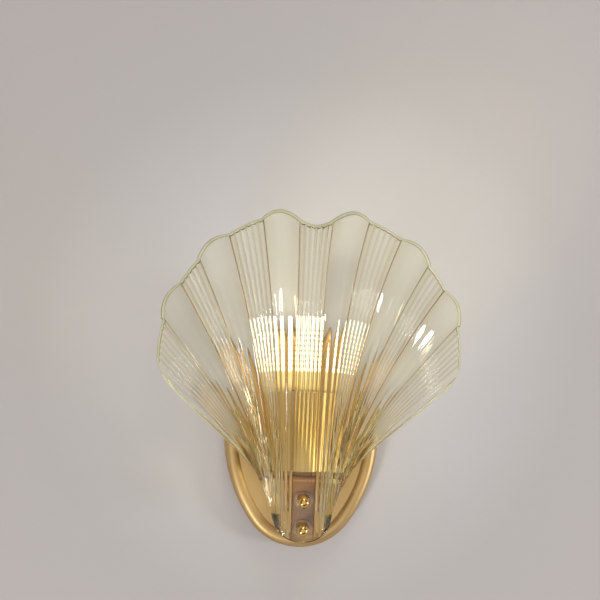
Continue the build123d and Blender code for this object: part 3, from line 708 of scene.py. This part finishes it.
# How the glass takes light. A tint of the light that passes through is in shares, 0 to 1.
GLASS_IOR = 1.5
ABSORPTION_TINT = (0.9, 0.86, 0.24, 1.0)
ABSORPTION_DENSITY = 44.0
SHADOW_TINT = (0.97, 0.95, 0.88, 1.0)
RIPPLE_SCALE = 22
RIPPLE_STRETCH = 0.35
RIPPLE_BUMP = 0.12
RIPPLE_DEPTH = 0.0015
UNTINTED = (255, 255, 255)
# Painted shade: the glass's colour turns brown along its creases and grooves.
CREASE_PAINTED_SHADES = ((0.0, UNTINTED), (0.6, (238, 228, 210)), (1.0, (156, 110, 56)))
STEM_SHADES = ((0.0, UNTINTED), (0.4, (244, 234, 206)), (0.85, UNTINTED))
RIM_PALE = (216, 212, 178)
RIM_DEEP = (198, 192, 148)
RIM_ROUGHNESS = 0.22


def clear_material(name, tint, density, roughness=0.0):
    """Clear glass or plastic: its tint deepens with thickness, and it casts only a pale shadow."""
    material, tree, shader = new_material(name, UNTINTED, roughness)
    shader.inputs["Transmission Weight"].default_value = 1.0
    shader.inputs["IOR"].default_value = GLASS_IOR
    absorb = tree.nodes.new("ShaderNodeVolumeAbsorption")
    absorb.inputs["Color"].default_value = tint
    absorb.inputs["Density"].default_value = density
    output = tree.nodes["Material Output"]
    tree.links.new(absorb.outputs["Volume"], output.inputs["Volume"])
    path = tree.nodes.new("ShaderNodeLightPath")
    clear = tree.nodes.new("ShaderNodeBsdfTransparent")
    clear.inputs["Color"].default_value = SHADOW_TINT
    mix = tree.nodes.new("ShaderNodeMixShader")
    tree.links.new(path.outputs["Is Shadow Ray"], mix.inputs["Fac"])
    tree.links.new(shader.outputs["BSDF"], mix.inputs[1])
    tree.links.new(clear.outputs["BSDF"], mix.inputs[2])
    tree.links.new(mix.outputs["Shader"], output.inputs["Surface"])
    ripple = noise(tree, placed(tree, scale=(1, 1, RIPPLE_STRETCH)), RIPPLE_SCALE, detail=2)
    bump(tree, shader, ripple, RIPPLE_BUMP, RIPPLE_DEPTH)
    return material


def attribute_tint(tree, name, stops):
    """Colours along one of the mesh's own attributes."""
    attribute = tree.nodes.new("ShaderNodeAttribute")
    attribute.attribute_name = name
    return ramp(tree, attribute.outputs["Fac"], stops)


amber_glass = clear_material("amber_glass", ABSORPTION_TINT, ABSORPTION_DENSITY)
amber_tree = amber_glass.node_tree
both_tints = amber_tree.nodes.new("ShaderNodeMix")
both_tints.data_type = "RGBA"
both_tints.blend_type = "MULTIPLY"
both_tints.inputs["Factor"].default_value = 1.0
crease_painted_shade = attribute_tint(amber_tree, "painted_shade", CREASE_PAINTED_SHADES)
amber_tree.links.new(crease_painted_shade, both_tints.inputs["A"])
stem_tint = attribute_tint(amber_tree, "stem", STEM_SHADES)
amber_tree.links.new(stem_tint, both_tints.inputs["B"])
amber_base = amber_tree.nodes["Principled BSDF"].inputs["Base Color"]
amber_tree.links.new(both_tints.outputs["Result"], amber_base)

rim_glass, rim_tree, rim_shader = new_material("rim_glass", RIM_PALE, RIM_ROUGHNESS)
mottle(rim_tree, rim_shader, ((0.3, RIM_PALE), (0.7, RIM_DEEP)), scale=60, detail=4)

glass_shell = finished("glass_shell", shell_mesh, amber_glass)
glass_shell.data.materials.append(rim_glass)
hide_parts("glass_shade")
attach(glass_shell, "fixture")

# ---- washers and ball nuts ---------------------------------------------------------------------
# Clear plastic washers keep the polished brass ball nuts off the glass, one pair on each stud.
# The nuts screw onto the studs and clamp the glass.
WASHER_TINT = (0.95, 0.92, 0.85, 1.0)
BALL_SHADES = ((222, 184, 118), (204, 162, 94))
clear_plastic = clear_material("clear_plastic", WASHER_TINT, density=6.0, roughness=0.05)
dress(clear_plastic, "upper_washer", "lower_washer")
polished_brass = brass("polished_brass", BALL_SHADES, roughness=0.16, brushing=0.004)
dress(polished_brass, "upper_ball_nut", "lower_ball_nut")
